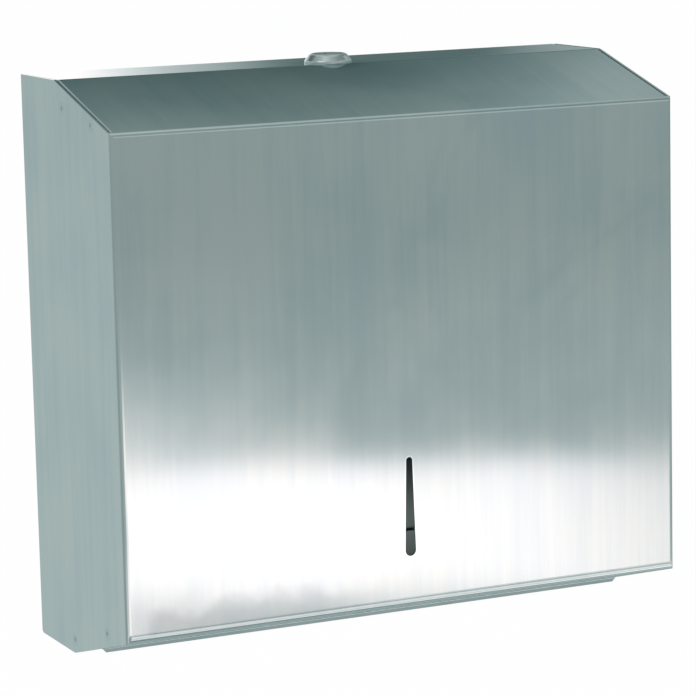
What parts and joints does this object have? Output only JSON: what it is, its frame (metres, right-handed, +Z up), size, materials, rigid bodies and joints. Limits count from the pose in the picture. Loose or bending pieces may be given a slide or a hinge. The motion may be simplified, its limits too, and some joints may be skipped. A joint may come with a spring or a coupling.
{
  "type": "paper towel dispenser",
  "caption": "Wall-hung steel dispenser for folded paper towels, with a lockable cover hinged along its lower back edge and an opening in its underside.",
  "frame": {"origin": "on the wall plane, in the middle of the four screw holes and of the back face", "axes": "+X to the right as seen from the front, +Y into the wall, +Z up; the front faces -Y"},
  "size_m": [0.28, 0.111, 0.2673],
  "materials": {
    "brushed_cover": "vertical fine grain, satin",
    "inner_sheet": "mill finish, dull",
    "hinge_steel": "bright drawn",
    "rivet_steel": "satin",
    "lock_chrome": "polished",
    "lock_body": "plated die casting, satin",
    "plated_steel": "zinc plated"
  },
  "bodies": {
    "wall_unit": {"back_plate": "inner_sheet", "towel_guide_right": "inner_sheet", "towel_guide_left": "inner_sheet", "towel_tray": "inner_sheet", "tray_rivets": "rivet_steel", "hinge_wall_leaf": "hinge_steel", "hinge_pin": "hinge_steel", "lock_strike": "inner_sheet", "strike_rivets": "rivet_steel"},
    "cover": {"front_cover": "brushed_cover", "hinge_cover_leaf": "hinge_steel", "lock_cap": "lock_chrome", "lock_housing": "lock_body", "lock_washer": "plated_steel", "lock_nut": "plated_steel"},
    "lock_core": {"lock_plug": "lock_chrome", "stop_washer": "plated_steel", "lock_cam": "plated_steel", "cam_washer": "plated_steel", "cam_screw": "plated_steel"}
  },
  "joints": [
    {"name": "cover_hinge", "type": "hinge", "parent": "wall_unit", "child": "cover", "pos_m": [0, -0.00305, -0.12845], "axis": [1, 0, 0], "range_deg": [0, 88]},
    {"name": "lock_turn", "type": "hinge", "parent": "cover", "child": "lock_core", "pos_m": [0, -0.0335, 0.1305], "axis": [0, 0, -1], "range_deg": [0, 90]}
  ]
}
